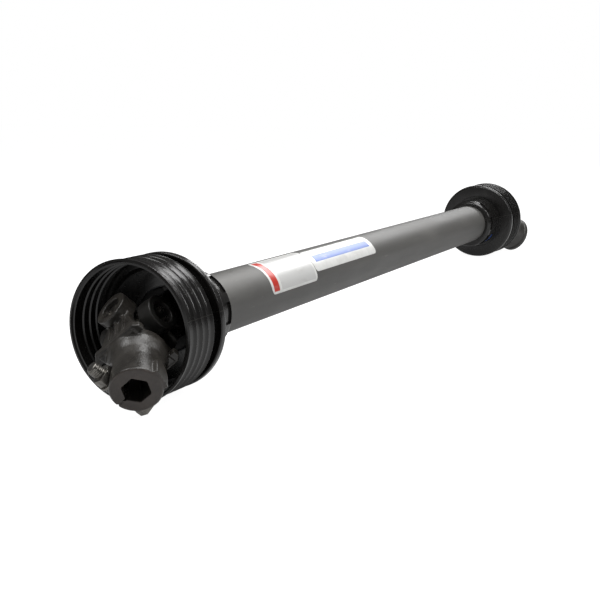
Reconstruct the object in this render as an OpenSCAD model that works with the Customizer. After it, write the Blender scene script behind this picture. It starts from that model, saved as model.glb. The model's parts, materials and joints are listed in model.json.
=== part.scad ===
// Telescopic cardan drive shaft in a plastic guard, lying on its two guard
// flanges and the ends of its two drooping yokes. The shaft runs along X with
// the clamp yoke at the -X end and the quick-release yoke at the +X end.
// The origin is on the floor, under the middle of the shaft.

/* [Shaft] */
// Distance between the two cross centres with the shaft pushed together
cross_span = 1251; // [1150:1:1400]
// Turn of both inner yokes about the shaft, pins level at 0
shaft_spin = -33.5; // [-60:0.1:60]
// Swing of the clamp yoke about the inner yoke's pins as it lies
near_swing = -38.6; // [-42:0.1:42]
// Tilt of the clamp yoke about its own pins as it lies
near_tilt = 12.4; // [-25:0.1:25]
// Swing of the quick-release yoke about the inner yoke's pins as it lies
far_swing = 33.8; // [-40:0.1:40]
// Tilt of the quick-release yoke about its own pins as it lies
far_tilt = -7.8; // [-20:0.1:20]

/* [Guard tubes] */
// Outside diameter of the outer guard tube
guard_tube_d = 72; // [70:0.5:76]
// Wall of the outer guard tube
guard_wall = 2.5; // [2:0.1:3]
// Wall of the inner guard tube
inner_guard_wall = 2.3; // [1.8:0.1:2.8]
// Radial gap between the two guard tubes
guard_slide_gap = 0.4; // [0.3:0.05:0.8]
// Gap between the outer guard tube and the far collar when closed
guard_end_gap = 0.6; // [0.4:0.1:3]
// Depth that a guard tube reaches into its collar
tube_seat = 34; // [30:1:38]
// Distance from a cross centre to the free end of either sliding tube
free_end_setback = 130; // [122:1:160]

/* [Guard cones] */
// Distance from the rim to the back of the flange
cone_length = 73; // [70:0.5:80]
// Distance from the rim back to the cross centre
cross_setback = 18.4; // [10:0.2:24]
// Outside radius of the thin lip round the mouth
lip_r = 75; // [73:0.5:80]
// Radius of the sharp edge of each band
band_edge_r = 74; // [72:0.5:78]
// Rise of a band from its root to its edge
band_rise = 2.4; // [0.5:0.1:3]
// Depth of the groove behind each band
band_groove_depth = 4; // [3.2:0.1:4.4]
// Width of the groove behind each band
band_groove_w = 2.2; // [1:0.1:3]
// Radius of the rounded crest of each band
band_crest_r = 0.9; // [0.3:0.1:1.5]
// Distance from the rim to the first band edge
first_band = 15.6; // [14:0.2:17]
// Distance from one band edge to the next
band_pitch = 10.9; // [9:0.1:11]
// Number of bands
band_count = 4; // [2:1:4]
// Moulded wall of the cone
cone_wall = 2.4; // [2:0.1:3]
// Outside radius of the deep groove in front of the flange
waist_r = 60; // [56:0.5:64]
// Outside radius of the flange
flange_r = 74.2; // [72:0.2:80]
// Width of the flange's rim
flange_w = 10.4; // [8:0.2:12]
// Radius of the rounded front edge of the flange's rim
flange_front_r = 1.5; // [0.5:0.1:2]
// Radius of the rounded back edge of the flange's rim
flange_back_r = 4; // [2:0.5:5]
// Inside radius of the lip that covers the bearing ring
cover_r = 37.4; // [37.3:0.1:40]
// Thickness of the lip that covers the bearing ring
cover_t = 1.9; // [1.4:0.1:1.9]
// Diameter of the grease access holes in the deep groove
access_hole_d = 11.5; // [8:0.5:12]
// Number of grease access holes
access_hole_count = 2; // [1:1:4]
// Angle of the first access hole round the shaft
access_hole_angle = 168; // [0:1:360]

/* [Collars] */
// Outside radius of the collar behind the flange
collar_r = 47; // [45:0.5:50]
// Length of the collar behind the flange
collar_length = 60; // [54:1:66]
// Wall of the collar round the bearing ring
collar_wall = 3.2; // [2.5:0.1:4]
// Number of grip pockets round the end of the collar
pocket_count = 8; // [4:1:10]
// Width of each grip pocket as an angle
pocket_angle = 31; // [15:1:34]
// Length of each grip pocket
pocket_length = 13; // [8:1:16]
// Depth of each grip pocket
pocket_depth = 3; // [1:0.5:6]
// Angle of the first grip pocket round the shaft
pocket_start = -2; // [-20:1:20]
// Number of latch windows for the bearing ring
latch_count = 2; // [2:1:4]
// Angle of the first latch round the shaft
latch_angle = -134; // [-180:1:180]
// Width of a latch as an angle
latch_w = 30; // [12:1:34]
// Length of a latch window
latch_length = 15; // [10:1:18]

/* [Bearing rings] */
// Width of the lip that runs in the yoke's groove
ring_lip_w = 6; // [5:0.2:7]
// Running gap of the ring round the groove
ring_run_gap = 0.1; // [0.05:0.01:0.1]
// Radius of the bottom of the yoke's ring groove
ring_groove_r = 28.6; // [28:0.1:29]
// Side play of the lip in its groove
ring_side_play = 0.3; // [0.3:0.05:0.6]
// Width of the ring
ring_w = 15; // [12:1:17]
// Width of the split that lets the ring spring over the neck
ring_split = 3; // [1:0.5:5]

/* [Crosses and caps] */
// Diameter of the bearing caps
cap_d = 23.8; // [22:0.1:24.4]
// Distance over the ends of two opposite caps
cap_span = 61.3; // [60:0.1:62]
// Length of a bearing cap
cap_length = 14; // [12:0.5:14.5]
// Thickness of a cap's closed end
cap_end = 2.4; // [1.5:0.1:3]
// Diameter of the cross's trunnions
trunnion_d = 15; // [13:0.5:17]
// Running gap between a trunnion and its cap
trunnion_gap = 0.05; // [0.03:0.01:0.1]
// Radius of the cross's round body
cross_body_r = 14; // [12:0.5:15]
// Diameter of the grease nipple's hexagon and head
nipple_d = 7; // [5:0.5:7.5]
// Distance from the cross centre to the tip of the grease nipple
nipple_reach = 21.5; // [18:0.5:22]
// Thickness of a circlip
circlip_t = 1.75; // [1.2:0.05:2]
// Radial width of a circlip
circlip_w = 2.9; // [2:0.1:3.5]
// Depth of the circlip groove in an ear
circlip_groove = 0.8; // [0.5:0.1:1.2]

/* [Forks] */
// Distance from the cross centre to the inside face of an ear
ear_in = 20; // [19.8:0.1:21]
// Distance from the cross centre to the outside face of an ear
ear_out = 38; // [36:0.1:39]
// Radius of an ear about its pin
ear_r = 19.2; // [18:0.1:19.4]
// Depth of the fork from the cross centre
fork_depth = 42; // [41.5:0.5:44]
// Thickness of the bridge behind the fork
bridge_t = 12; // [10:0.5:12]
// Radius of the corners at the bottom of the fork
crotch_r = 9; // [4:0.5:10]
// Depth of the pockets forged in the outside of the arms
arm_pocket = 10; // [7:0.5:11]
// Half width of the arms at their neck behind the ears
arm_neck = 16; // [14:0.5:16.5]
// Half width of the wide shoulder at the root of the fork
shoulder_half = 31; // [26:0.5:32]
// Half width of the bridge under the shoulder
bridge_half = 24; // [22:0.5:26]
// Thickness of the shoulder along the shaft
shoulder_t = 7.5; // [5:0.5:9]
// Distance from the cross centre to the shoulder's outside face, along the pin
shoulder_out = 31.5; // [30:0.5:34]
// Number of ribs in each arm pocket
rib_count = 3; // [1:1:4]
// Thickness of each rib
rib_t = 3; // [2:0.5:4]

/* [Clamp yoke] */
// Diameter of the clamp yoke's hub
hub_d = 52; // [50:0.5:56]
// Distance from the cross centre to the hub's end face
hub_reach = 102; // [96:1:112]
// Length of the cone that blends the fork into the hub
hub_blend = 20; // [12:1:24]
// Chamfer round the hub's end face
hub_chamfer = 1.6; // [0.8:0.1:2.5]
// Width across the flats of the hexagon bore
hex_flats = 25.4; // [22:0.1:27]
// Width of the clamping slit
slit_w = 2; // [1.5:0.1:3]
// Length of the clamping slit from the end face
slit_length = 44; // [38:1:46]
// Diameter of the pinch bolt
bolt_d = 12; // [10:0.5:14]
// Clearance of the pinch bolt in its hole, on the diameter
bolt_clearance = 0.6; // [0.4:0.1:1]
// Distance from the hub's centre line to the pinch bolt
bolt_offset = 20.5; // [20:0.1:21.5]
// Distance from the hub's end face back to the pinch bolt
bolt_setback = 22; // [18:0.5:26]
// Radius of the two pinch bolt bosses
boss_r = 10.5; // [10:0.1:11.5]
// Reach of the boss under the nut
nut_boss_reach = 15; // [14.5:0.5:24]
// Reach of the boss under the bolt's head
head_boss_reach = 26.5; // [24:0.5:33]
// Width across the flats of the nut and the bolt's head
nut_flats = 19; // [17:0.5:21]
// Height of the nut
nut_h = 10; // [8:0.5:11]
// Height of the bolt's head
bolt_head_h = 7.5; // [6:0.5:9]
// Thickness of the washer
washer_t = 2.5; // [1.5:0.1:3]
// Length of thread that stands out of the nut
thread_out = 12; // [1:0.5:14]
// Width of the flat pad on the side of the hub
pad_w = 23; // [16:0.5:25]
// Length of the flat pad
pad_length = 27; // [25:1:36]
// Turn of the flat pad round the hub, away from straight behind the slit
pad_turn = 20; // [0:1:30]
// Height of the flat pad above the hub
pad_h = 1.8; // [1:0.1:3]

/* [Quick-release yoke] */
// Diameter of the quick-release yoke's hub under its lock collar
spline_hub_d = 51.6; // [50:0.2:53]
// Distance from the fork's bridge to the back of the lock collar
lock_room = 16; // [14:1:22]
// Diameter of the bore between the splines
spline_minor_d = 29.8; // [29.4:0.1:30.2]
// Diameter at the bottom of the spline grooves
spline_major_d = 35; // [34.6:0.1:36]
// Width of each spline groove
spline_groove_w = 8.8; // [8.6:0.1:9.4]
// Number of splines
spline_count = 6; // [4:1:8]
// Outside diameter of the sliding lock collar
lock_collar_d = 72; // [69:0.5:74]
// Length of the lock collar
lock_collar_length = 38; // [36:0.5:40]
// Distance from the end face back to the front of the lock collar
lock_setback = 2; // [1:0.5:3]
// Depth of the grip round the middle of the lock collar
lock_grip = 2; // [0.5:0.5:2.5]
// Pull of the lock collar back from its stop
lock_travel = 12; // [11:0.5:12]
// Running gap between the lock collar and the hub
lock_gap = 0.06; // [0.03:0.01:0.1]
// Diameter of the lock balls
lock_ball_d = 10.8; // [10:0.1:10.8]
// Number of lock balls
lock_ball_count = 3; // [1:1:6]
// Distance from the end face back to the lock balls
lock_ball_setback = 16; // [15.5:0.5:16.5]
// Wire diameter of the collar's spring
spring_wire = 2; // [1.6:0.1:2.2]
// Turns of the collar's spring
spring_turns = 4; // [3:1:4]

/* [Profile tubes] */
// Distance from the tube's centre to the centre of each rounded corner
lobe_offset = 18; // [16:0.5:18]
// Outside corner radius of the outer profile tube
lobe_r = 8.2; // [7.8:0.1:8.4]
// Wall of the outer profile tube
outer_profile_wall = 3.4; // [2.5:0.1:3.6]
// Wall of the inner profile tube
inner_profile_wall = 3.2; // [2.5:0.1:3.4]
// Sliding gap between the two profile tubes
profile_gap = 0.3; // [0.3:0.05:0.6]
// Gap between a profile tube and its socket
socket_gap = 0.05; // [0.03:0.01:0.1]
// Distance from the cross centre to the seat of the profile tube
profile_seat = 50; // [46:0.5:52]
// Outside radius of the near neck round the outer profile tube
neck_r = 31; // [30.5:0.1:31.4]
// Outside radius of the far neck round the inner profile tube
far_neck_r = 28.3; // [27.5:0.1:28.6]
// Distance from the cross centre to the end of a neck
neck_reach = 112; // [106:1:116]
// Diameter of the roll pins
roll_pin_d = 10; // [8:0.5:10]
// Distance from the cross centre to the roll pins
roll_pin_at = 96; // [92:1:98]

/* [Hidden] */
$fn = 96;
// Overlap of a cut past the face that it opens
over = 1;
// Sides of an arc that is drawn as short straight lines
arc_steps = 8;
// Gap between pieces that are pressed or seated together
seat_gap = 0.02;
hex_corner = 1 / cos(30);
spot_r = bolt_d + 0.8;

axis_z = max(flange_r, lip_r);
half_span = cross_span / 2;
// Distances below are measured from a cross centre towards the middle
flange_back = cone_length - cross_setback;
collar_end = flange_back + collar_length;
tube_end = collar_end - tube_seat;
ring_start = flange_back;
ring_groove_at = flange_back + 2.5;
ring_outer_r = collar_r - collar_wall - seat_gap;
ring_inner_r = neck_r + 0.5;
latch_end = ring_start + ring_w + latch_length + 1.5;
bridge_end = fork_depth + bridge_t;
lip_end = ring_start + ring_w + 2;

guard_tube_r = guard_tube_d / 2;
inner_guard_r = guard_tube_r - guard_wall - guard_slide_gap;
inner_lobe_r = lobe_r - outer_profile_wall - profile_gap;
cap_r = cap_d / 2;
cap_bore_r = cap_r + seat_gap;
cap_out = cap_span / 2;
trunnion_r = trunnion_d / 2;
trunnion_end = cap_out - cap_end - 0.3;
seal_end = cap_out - cap_length - seat_gap;
seal_t = 2.2;
shoulder_r = trunnion_r + 2.5;
cross_face = trunnion_r + 2.5;
nipple_stem = 6;
arm_out = ear_out - arm_pocket;
bolt_x = hub_reach - bolt_setback;
spline_hub_r = spline_hub_d / 2;
lock_back = bridge_end + lock_room;
lock_front = lock_back + lock_collar_length;
spline_hub_reach = lock_front + lock_setback;
lock_ball_r = lock_ball_d / 2;
lock_ball_at = spline_hub_reach - lock_ball_setback;
lock_land = [lock_ball_at - 4, lock_ball_at + 7];
lock_skirt_r = spline_hub_r + 5.8;
spring_seat = lock_back - 1;
spring_seat_r = lock_skirt_r - 0.6;
lock_ring_t = 1.8;
lock_ring_w = 4;
lock_ring_depth = 0.9;

function arc(centre, r, from, to, steps = arc_steps) = [
  for (i = [0:steps])
    let (a = from + (to - from) * i / steps)
      centre + r * [cos(a), sin(a)]
];

// Frames: each puts its children where that part of the shaft lies
module near_drive_frame() {
  translate([-half_span, 0, axis_z]) rotate([shaft_spin, 0, 0]) children();
}

module near_cross_frame() {
  near_drive_frame() rotate([0, near_swing, 0]) children();
}

module near_yoke_frame() {
  near_cross_frame() rotate([0, 0, 180 + near_tilt]) children();
}

module far_drive_frame() {
  translate([half_span, 0, axis_z]) rotate([shaft_spin, 0, 0])
    rotate([0, 0, 180]) children();
}

module far_cross_frame() {
  translate([half_span, 0, axis_z]) rotate([shaft_spin, 0, 0])
    rotate([0, far_swing, 0]) children();
}

module far_yoke_frame() {
  far_cross_frame() rotate([0, 0, far_tilt]) children();
}

// A guard part is revolved about the shaft, x measured from the near cross
module near_guard_frame() {
  translate([-half_span, 0, axis_z]) children();
}

module far_guard_frame() {
  translate([half_span, 0, axis_z]) mirror([1, 0, 0]) children();
}

// Revolves a profile of [distance along X, radius] points about X
module revolve_x(points) {
  rotate([90, 0, 90]) rotate_extrude() polygon([for (p = points) [p[1], p[0]]]);
}

module tube_x(from, to, r_out, r_in) {
  translate([from, 0, 0]) rotate([0, 90, 0]) difference() {
    cylinder(h = to - from, r = r_out);
    translate([0, 0, -over]) cylinder(h = to - from + 2 * over, r = r_in);
  }
}

// A wedge about X between two angles, for windows and splits
module wedge_x(from, to, reach, angle, width) {
  half = width / 2;
  translate([from, 0, 0]) rotate([angle, 0, 0]) rotate([90, 0, 90])
    linear_extrude(to - from)
      polygon([[0, 0], reach * [cos(half), -sin(half)], reach * [1 / cos(half), 0],
               reach * [cos(half), sin(half)]]);
}

// Moulded guard cone: lip, bands, waist, flange and collar in one wall
function band_outline(i) =
  let (edge = first_band + i * band_pitch - cross_setback)
    [each arc([edge - band_crest_r, band_edge_r - band_crest_r], band_crest_r, 90, 0, 4),
     [edge, band_edge_r - band_groove_depth],
     [edge + band_groove_w, band_edge_r - band_groove_depth],
     [edge + band_groove_w, band_edge_r - band_rise]];

function band_inside(i) =
  let (edge = first_band + i * band_pitch - cross_setback,
       r = band_edge_r - band_rise - cone_wall,
       ring_r = band_edge_r - band_groove_depth - cone_wall)
    [[edge + band_groove_w + 1, r], [edge + band_groove_w, ring_r],
     [edge, ring_r], [edge - 1, r]];

module guard_cone(tube_r) {
  rim = -cross_setback;
  waist_start = first_band + (band_count - 1) * band_pitch - cross_setback;
  flange_front = flange_back - flange_w;
  inside_r = band_edge_r - band_rise - cone_wall;
  rim_inside = flange_r - cone_wall;
  cover_at = ring_start - 0.3;
  outline = concat(
    [[rim, lip_r - cone_wall], [rim + 0.6, lip_r], [rim + 2.2, lip_r],
     [rim + 3, band_edge_r - band_rise]],
    [for (i = [0:band_count - 2]) each band_outline(i)],
    arc([waist_start - band_crest_r, band_edge_r - band_crest_r], band_crest_r, 90, 0, 4),
    [[waist_start + 0.6, waist_r + 1], [waist_start + 2, waist_r],
     [flange_back - cone_wall, waist_r],
     [flange_back - cone_wall, rim_inside - 1], [flange_back - cone_wall - 1, rim_inside],
     [flange_front, rim_inside]],
    arc([flange_front + flange_front_r, flange_r - flange_front_r], flange_front_r, 180, 90, 4),
    arc([flange_back - flange_back_r, flange_r - flange_back_r], flange_back_r, 90, 0),
    [[flange_back, collar_r + 5], [flange_back - 1.2, collar_r + 4.5],
     [flange_back - 1.2, collar_r]],
    arc([collar_end - 7, collar_r - 7], 7, 90, 0),
    [[collar_end, tube_r + seat_gap], [tube_end - 4, tube_r + seat_gap],
     [tube_end - 4, collar_r - collar_wall],
     [cover_at, collar_r - collar_wall], [cover_at, cover_r],
     [cover_at - cover_t, cover_r], [cover_at - cover_t, collar_r - collar_wall],
     [flange_back - cone_wall - 1.2, collar_r - collar_wall],
     [flange_back - cone_wall - 1.2, waist_r - cone_wall],
     [waist_start + 1, waist_r - cone_wall],
     [waist_start - cone_wall, waist_r + 1],
     [waist_start - cone_wall, inside_r]],
    [for (i = [band_count - 2:-1:0]) each band_inside(i)],
    [[rim + 2, inside_r], [rim + 2, lip_r - cone_wall - 1.6]]
  );
  color([0.05, 0.05, 0.05]) difference() {
    revolve_x(outline);
    for (i = [0:access_hole_count - 1])
      rotate([access_hole_angle + i * 360 / access_hole_count, 0, 0])
        translate([waist_start + 2 + access_hole_d / 2, waist_r, 0])
          rotate([90, 0, 0])
            cylinder(h = 4 * cone_wall, d = access_hole_d, center = true);
    for (i = [0:pocket_count - 1])
      difference() {
        wedge_x(collar_end - pocket_length - 4, collar_end - 4, collar_r + 5,
                i * 360 / pocket_count + pocket_start, pocket_angle);
        tube_x(collar_end - pocket_length - 5, collar_end, collar_r - pocket_depth, 1);
      }
    for (i = [0:latch_count - 1])
      wedge_x(ring_start + ring_w + 1, latch_end, collar_r + 5,
              latch_angle + i * 360 / latch_count, latch_w + 2);
  }
}

module near_guard_cone() {
  near_guard_frame() guard_cone(guard_tube_r);
}

module far_guard_cone() {
  far_guard_frame() guard_cone(inner_guard_r);
}

// Split nylon ring: its lip runs in the yoke's groove, its latches hold the cone
module bearing_ring() {
  lip = ring_groove_at + ring_side_play;
  color([0.1, 0.2, 0.55]) difference() {
    union() {
      revolve_x([[ring_start, ring_inner_r], [ring_start, ring_outer_r],
                 [ring_start + ring_w, ring_outer_r],
                 [ring_start + ring_w, ring_inner_r],
                 [lip + ring_lip_w, ring_inner_r],
                 [lip + ring_lip_w, ring_groove_r + ring_run_gap],
                 [lip, ring_groove_r + ring_run_gap], [lip, ring_inner_r]]);
      for (i = [0:latch_count - 1])
        intersection() {
          union() {
            tube_x(ring_start + ring_w - 1, latch_end - 0.5, ring_outer_r, 38);
            tube_x(ring_start + ring_w + 1.5, latch_end - 0.5, collar_r - 0.4, 40);
          }
          wedge_x(ring_start, latch_end, collar_r + 5,
                  latch_angle + i * 360 / latch_count, latch_w);
        }
    }
    translate([ring_start - over, -ring_split / 2, 0])
      cube([ring_w + 2 * over, ring_split, collar_r]);
  }
}

module near_bearing_ring() {
  near_guard_frame() bearing_ring();
}

module far_bearing_ring() {
  far_guard_frame() bearing_ring();
}

module outer_guard_tube() {
  color([0.2, 0.2, 0.2]) translate([0, 0, axis_z])
    tube_x(-half_span + tube_end, half_span - collar_end - guard_end_gap,
           guard_tube_r, guard_tube_r - guard_wall);
}

module inner_guard_tube() {
  color([0.15, 0.15, 0.15]) translate([0, 0, axis_z])
    tube_x(-half_span + free_end_setback, half_span - tube_end,
           inner_guard_r, inner_guard_r - inner_guard_wall);
}

// Rounded triangle of the profile tubes and their sockets
module lobed_triangle(r) {
  polygon([for (k = [0:2]) each
    arc(lobe_offset * [cos(120 * k), sin(120 * k)], r, 120 * k - 60, 120 * k + 60)]);
}

module lobed_bar(from, to, r) {
  translate([from, 0, 0]) rotate([90, 0, 90]) linear_extrude(to - from)
    lobed_triangle(r);
}

module roll_pin_hole(r) {
  translate([roll_pin_at, 0, 0]) cylinder(h = 4 * neck_r, r = r, center = true);
}

module outer_profile_tube() {
  color([0.45, 0.45, 0.45]) near_drive_frame() difference() {
    lobed_bar(profile_seat, cross_span - free_end_setback, lobe_r);
    lobed_bar(profile_seat - over, cross_span, lobe_r - outer_profile_wall);
    roll_pin_hole(roll_pin_d / 2 + seat_gap);
  }
}

module inner_profile_tube() {
  color([0.5, 0.5, 0.5]) far_drive_frame() mirror([0, 1, 0]) difference() {
    lobed_bar(profile_seat, cross_span - free_end_setback, inner_lobe_r);
    lobed_bar(profile_seat - over, cross_span, inner_lobe_r - inner_profile_wall);
    roll_pin_hole(roll_pin_d / 2 + seat_gap);
  }
}

// Split spring pin that fixes a profile tube in its neck
module roll_pin(reach) {
  color([0.35, 0.35, 0.35]) translate([roll_pin_at, 0, 0]) difference() {
    cylinder(h = 2 * reach, d = roll_pin_d, center = true);
    cylinder(h = 2 * reach + over, d = roll_pin_d * 0.6, center = true);
    translate([roll_pin_d / 2, 0, 0])
      cube([roll_pin_d, roll_pin_d / 8, 2 * reach + over], center = true);
  }
}

module near_roll_pin() {
  near_drive_frame() roll_pin(neck_r - 1);
}

module far_roll_pin() {
  far_drive_frame() roll_pin(far_neck_r - 1);
}

// Forged fork with its pins along Z and its root towards +X
module fork_side() {
  low = fork_depth - crotch_r;
  in = ear_in - crotch_r;
  polygon(concat(
    [[-ear_r - over, ear_in]],
    arc([low, in], crotch_r, 90, 0),
    arc([low, -in], crotch_r, 0, -90),
    [[-ear_r - over, -ear_in], [-ear_r - over, -arm_out],
     [bridge_end, -arm_out], [bridge_end, arm_out],
     [-ear_r - over, arm_out]]
  ));
}

// The arms narrow behind the ears so that the other fork can swing past them
module fork_top() {
  neck_at = fork_depth * 0.43;
  circle(r = ear_r);
  polygon([[0, -arm_neck], [neck_at, -arm_neck], [fork_depth, -bridge_half],
           [bridge_end, -bridge_half], [bridge_end, bridge_half],
           [fork_depth, bridge_half], [neck_at, arm_neck], [0, arm_neck]]);
}

// Wide flat shoulder at the root of an arm, its corners cut off
module shoulder() {
  cut = 5;
  half = shoulder_half;
  translate([bridge_end - shoulder_t - 2, 0, ear_in]) rotate([90, 0, 90])
    linear_extrude(shoulder_t)
      polygon([[-half, 0], [half, 0], [half, shoulder_out - ear_in - cut],
               [half - cut, shoulder_out - ear_in], [cut - half, shoulder_out - ear_in],
               [-half, shoulder_out - ear_in - cut]]);
}

module fork() {
  rib_pitch = 1.5 * ear_r / rib_count;
  intersection() {
    rotate([90, 0, 0]) linear_extrude(4 * shoulder_half, center = true) fork_side();
    linear_extrude(4 * ear_out, center = true) fork_top();
  }
  for (side = [0, 1])
    mirror([0, 0, side]) {
      translate([0, 0, ear_in]) cylinder(h = ear_out - ear_in, r = ear_r);
      shoulder();
      // Ribs between the ear's ring and the shoulder
      for (i = [0:rib_count - 1])
        translate([ear_r - 6, (i - (rib_count - 1) / 2) * rib_pitch - rib_t / 2, ear_in + 2])
          cube([bridge_end - shoulder_t - ear_r + 5, rib_t, shoulder_out - ear_in - 3]);
    }
}

// Cap bores and circlip grooves of one fork
module ear_bores() {
  cylinder(h = 4 * ear_out, r = cap_bore_r, center = true);
  for (side = [0, 1])
    mirror([0, 0, side]) translate([0, 0, cap_out + seat_gap])
      cylinder(h = circlip_t + 2 * seat_gap, r = cap_bore_r + circlip_groove);
}

module cap_pair() {
  color([0.5, 0.5, 0.48])
    for (side = [0, 1])
      mirror([0, 0, side]) translate([0, 0, cap_out - cap_length]) difference() {
        cylinder(h = cap_length, r = cap_r);
        translate([0, 0, -over])
          cylinder(h = cap_length - cap_end + over, r = trunnion_r + trunnion_gap);
      }
}

// Internal circlips: an open ring with two drilled eyes
module circlip_outline() {
  ring_r = cap_bore_r + circlip_groove - 3 * seat_gap;
  eye_r = circlip_w * 0.8;
  eye_at = ring_r - eye_r - 0.4;
  difference() {
    union() {
      difference() {
        circle(r = ring_r);
        circle(r = ring_r - circlip_w);
        polygon([[0, 0], 2 * ring_r * [cos(20), -sin(20)], 2 * ring_r * [cos(20), sin(20)]]);
      }
      for (a = [-30, 30])
        rotate(a) translate([eye_at, 0]) circle(r = eye_r);
    }
    for (a = [-30, 30])
      rotate(a) translate([eye_at, 0]) circle(r = eye_r * 0.45);
  }
}

module circlip_pair() {
  color([0.6, 0.6, 0.58])
    for (side = [0, 1])
      mirror([0, 0, side]) translate([0, 0, cap_out + 2 * seat_gap])
        linear_extrude(circlip_t) circlip_outline();
}

// Inner yoke: fork, ring groove and lobed socket, pins along Y
module inner_yoke(rear_r, socket_r) {
  groove_end = ring_groove_at + ring_lip_w + 2 * ring_side_play;
  color([0.13, 0.13, 0.12]) difference() {
    union() {
      rotate([90, 0, 0]) fork();
      revolve_x([[fork_depth, 0], [bridge_end - 4, neck_r + 5],
                 [bridge_end - 1, neck_r + 5],
                 [bridge_end, neck_r - 0.5], [ring_groove_at, neck_r - 0.5],
                 [ring_groove_at, ring_groove_r],
                 [groove_end, ring_groove_r], [groove_end, neck_r - 0.5],
                 [lip_end - 1, neck_r - 0.5], [lip_end, rear_r],
                 [neck_reach - 2, rear_r], [neck_reach, rear_r - 2],
                 [neck_reach, 0]]);
    }
    rotate([90, 0, 0]) ear_bores();
    lobed_bar(profile_seat, neck_reach + over, socket_r + socket_gap);
    lobed_bar(fork_depth - over, neck_reach, socket_r * 0.55);
    roll_pin_hole(roll_pin_d / 2 + seat_gap);
  }
}

module near_inner_yoke() {
  near_drive_frame() inner_yoke(neck_r - 0.5, lobe_r);
}

module far_inner_yoke() {
  far_drive_frame() mirror([0, 1, 0]) inner_yoke(far_neck_r, inner_lobe_r);
}

module near_inner_yoke_caps() {
  near_drive_frame() rotate([90, 0, 0]) cap_pair();
}

module far_inner_yoke_caps() {
  far_drive_frame() rotate([90, 0, 0]) cap_pair();
}

module near_inner_yoke_circlips() {
  near_drive_frame() rotate([90, 0, 0]) circlip_pair();
}

module far_inner_yoke_circlips() {
  far_drive_frame() rotate([90, 0, 0]) circlip_pair();
}

// Cross: four ground trunnions on a round body, its nipple on the -X face
module cross_piece() {
  color([0.4, 0.4, 0.38]) difference() {
    union() {
      for (turn = [0, 90])
        rotate([turn, 0, 0]) {
          cylinder(h = 2 * trunnion_end, r = trunnion_r, center = true);
          cylinder(h = 2 * (seal_end - seal_t - 0.2), r = shoulder_r, center = true);
        }
      rotate([0, 90, 0]) cylinder(h = 2 * cross_face, r = cross_body_r, center = true);
    }
    translate([-cross_face - over, 0, 0]) rotate([0, 90, 0])
      cylinder(h = nipple_stem + over, r = nipple_d * 0.4);
  }
}

module cross_seals() {
  color([0.08, 0.08, 0.08])
    for (turn = [0:3])
      rotate([90 * turn, 0, 0]) translate([0, 0, seal_end - seal_t]) difference() {
        cylinder(h = seal_t, r = cap_r - 0.4);
        translate([0, 0, -over]) cylinder(h = seal_t + 2 * over, r = trunnion_r + seat_gap);
      }
}

module grease_nipple() {
  color([0.65, 0.6, 0.45]) rotate([0, -90, 0]) {
    translate([0, 0, cross_face - nipple_stem + seat_gap])
      cylinder(h = nipple_stem, r = nipple_d * 0.4 - seat_gap);
    translate([0, 0, cross_face + seat_gap]) cylinder(h = 3, r = nipple_d / 2, $fn = 6);
    translate([0, 0, cross_face]) cylinder(h = nipple_reach - cross_face - 2, r = nipple_d * 0.28);
    translate([0, 0, nipple_reach - 2.5]) sphere(r = nipple_d * 0.36, $fn = 32);
  }
}

module near_cross() {
  near_cross_frame() cross_piece();
}

module far_cross() {
  far_cross_frame() mirror([1, 0, 0]) cross_piece();
}

module near_cross_seals() {
  near_cross_frame() cross_seals();
}

module far_cross_seals() {
  far_cross_frame() cross_seals();
}

module near_grease_nipple() {
  near_cross_frame() grease_nipple();
}

module far_grease_nipple() {
  far_cross_frame() mirror([1, 0, 0]) grease_nipple();
}

// Hub behind a fork, blended into the bridge by a curve
module hub(r, reach) {
  root = r + 5;
  revolve_x([[fork_depth, 0], [fork_depth, root - 1], [fork_depth + 2, root],
             [bridge_end - 2, root], [bridge_end + hub_blend * 0.2, r + 3.4],
             [bridge_end + hub_blend * 0.5, r + 1.2], [bridge_end + hub_blend, r],
             [reach - hub_chamfer, r], [reach, r - hub_chamfer], [reach, 0]]);
}

// Clamp yoke: hexagon bore, slit and pinch bolt bosses on its -Y side
module clamp_yoke() {
  hub_r = hub_d / 2;
  color([0.13, 0.12, 0.11]) near_yoke_frame() difference() {
    union() {
      fork();
      hub(hub_r, hub_reach);
      translate([bolt_x, -bolt_offset, -head_boss_reach])
        cylinder(h = head_boss_reach + nut_boss_reach, r = boss_r);
      translate([bolt_x - boss_r, -bolt_offset, -hub_r * 0.62])
        cube([2 * boss_r, bolt_offset, hub_r * 1.24]);
      // Flat pad with a rounded end, opposite the slit
      rotate([-pad_turn, 0, 0]) intersection() {
        translate([0, hub_r + pad_h, 0]) rotate([90, 0, 0]) {
          translate([hub_reach - pad_length + pad_w / 2, 0, 0])
            cylinder(h = 10, d = pad_w);
          translate([hub_reach - pad_length + pad_w / 2, -pad_w / 2, 0])
            cube([pad_length - pad_w / 2 - hub_chamfer, pad_w, 10]);
        }
        translate([fork_depth, -2 * hub_r, -2 * hub_r])
          cube([hub_reach - fork_depth, 4 * hub_r, 4 * hub_r]);
      }
    }
    ear_bores();
    translate([fork_depth - over, 0, 0]) rotate([0, 90, 0]) rotate([0, 0, 90])
      cylinder(h = hub_reach, r = hex_flats / 2 * hex_corner, $fn = 6);
    translate([hub_reach - slit_length, -bolt_offset - boss_r - over, -slit_w / 2])
      cube([slit_length + over, bolt_offset + boss_r + over, slit_w]);
    translate([bolt_x, -bolt_offset, 0])
      cylinder(h = 4 * hub_r, d = bolt_d + bolt_clearance, center = true);
    // Spot face that the washer and the nut sit in
    translate([bolt_x, -bolt_offset, nut_boss_reach]) cylinder(h = 2 * hub_r, r = spot_r);
  }
}

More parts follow.
